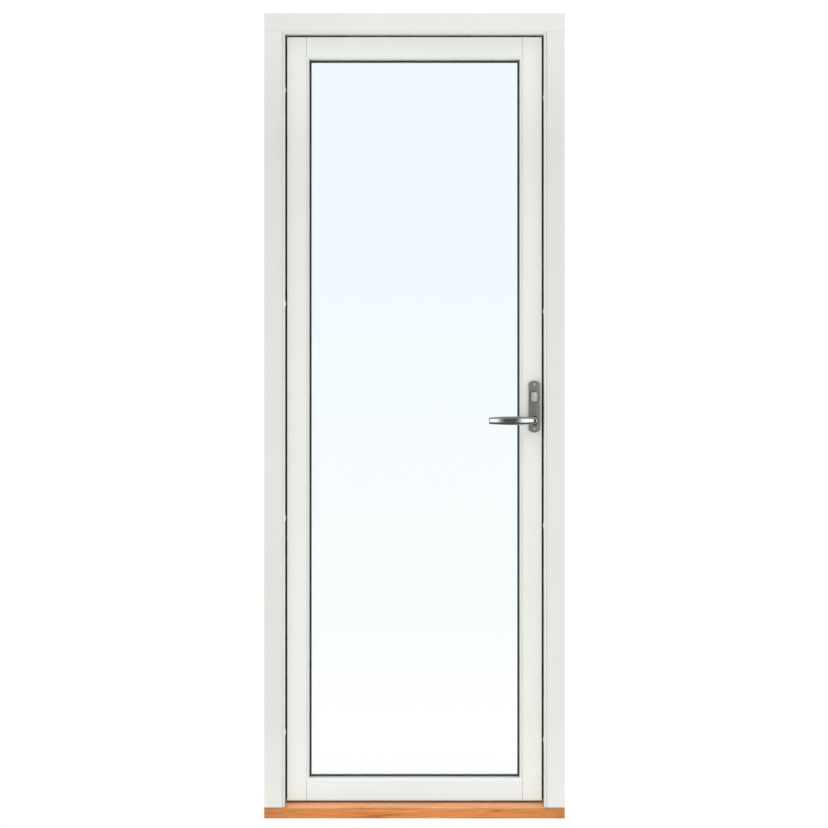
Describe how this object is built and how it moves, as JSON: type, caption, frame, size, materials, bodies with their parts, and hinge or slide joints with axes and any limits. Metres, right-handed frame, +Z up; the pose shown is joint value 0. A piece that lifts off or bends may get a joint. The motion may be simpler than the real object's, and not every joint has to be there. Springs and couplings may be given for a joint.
{
  "type": "glazed patio door",
  "caption": "Outward-opening timber patio door set with full-height double glazing, an oiled hardwood threshold, and a lever and thumb turn on a narrow handle plate.",
  "frame": {"origin": "centre of the threshold's underside, at half the depth of the frame", "axes": "+X to the right seen from the room, +Y outwards through the frame, +Z up"},
  "size_m": [0.78, 0.1307, 2.09],
  "materials": {
    "clear_glass": "clear",
    "grey_gasket": "matt grey",
    "oiled_hardwood": "oiled",
    "painted_timber": "white satin paint",
    "plain_aluminium": "mill finish, anodised",
    "polished_chrome": "polished",
    "satin_metal": "satin",
    "seal_rubber": "matt black",
    "spacer_plastic": "matt dark grey",
    "white_plastic": "satin",
    "zinc_steel": "zinc plated"
  },
  "bodies": {
    "frame": {"frame_head": "painted_timber", "frame_jamb_hinge_side": "painted_timber", "frame_jamb_lock_side": "painted_timber", "threshold": "oiled_hardwood", "threshold_cover": "plain_aluminium", "frame_seal_head": "seal_rubber", "frame_seal_hinge_side": "seal_rubber", "frame_seal_lock_side": "seal_rubber", "threshold_seal": "seal_rubber", "fixing_caps_left": "white_plastic", "fixing_caps_right": "white_plastic", "fixing_sleeves_left": "zinc_steel", "fixing_sleeves_right": "zinc_steel", "strike_bottom": "zinc_steel", "strike_middle": "zinc_steel", "strike_top": "zinc_steel", "hinge_frame_half_bottom": "zinc_steel", "hinge_frame_half_middle": "zinc_steel", "hinge_frame_half_top": "zinc_steel"},
    "leaf": {"hinge_stile": "painted_timber", "lock_stile": "painted_timber", "bottom_rail": "painted_timber", "top_rail": "painted_timber", "glass_inner": "clear_glass", "glass_outer": "clear_glass", "spacer_bar": "spacer_plastic", "glazing_gasket_inner": "grey_gasket", "glazing_gasket_outer": "grey_gasket", "glazing_bead_bottom": "painted_timber", "glazing_bead_top": "painted_timber", "glazing_bead_left": "painted_timber", "glazing_bead_right": "painted_timber", "setting_blocks": "spacer_plastic", "drip_rail": "plain_aluminium", "lock_faceplate": "zinc_steel", "lock_bolts": "zinc_steel", "handle_backplate": "satin_metal", "hinge_leaf_half_bottom": "zinc_steel", "hinge_leaf_half_middle": "zinc_steel", "hinge_leaf_half_top": "zinc_steel"},
    "lever": {"lever_handle": "polished_chrome"},
    "turn": {"thumb_turn": "satin_metal"}
  },
  "joints": [
    {"name": "leaf_swing", "type": "hinge", "parent": "frame", "child": "leaf", "pos_m": [-0.3465, 0.0536, 0], "axis": [0, 0, 1], "range_deg": [0, 100]},
    {"name": "lever_turn", "type": "hinge", "parent": "leaf", "child": "lever", "pos_m": [0.312, -0.061, 1.032], "axis": [0, -1, 0], "range_deg": [0, 90]},
    {"name": "thumb_turn", "type": "hinge", "parent": "leaf", "child": "turn", "pos_m": [0.312, -0.025, 1.094], "axis": [0, -1, 0], "range_deg": [0, 90]}
  ]
}
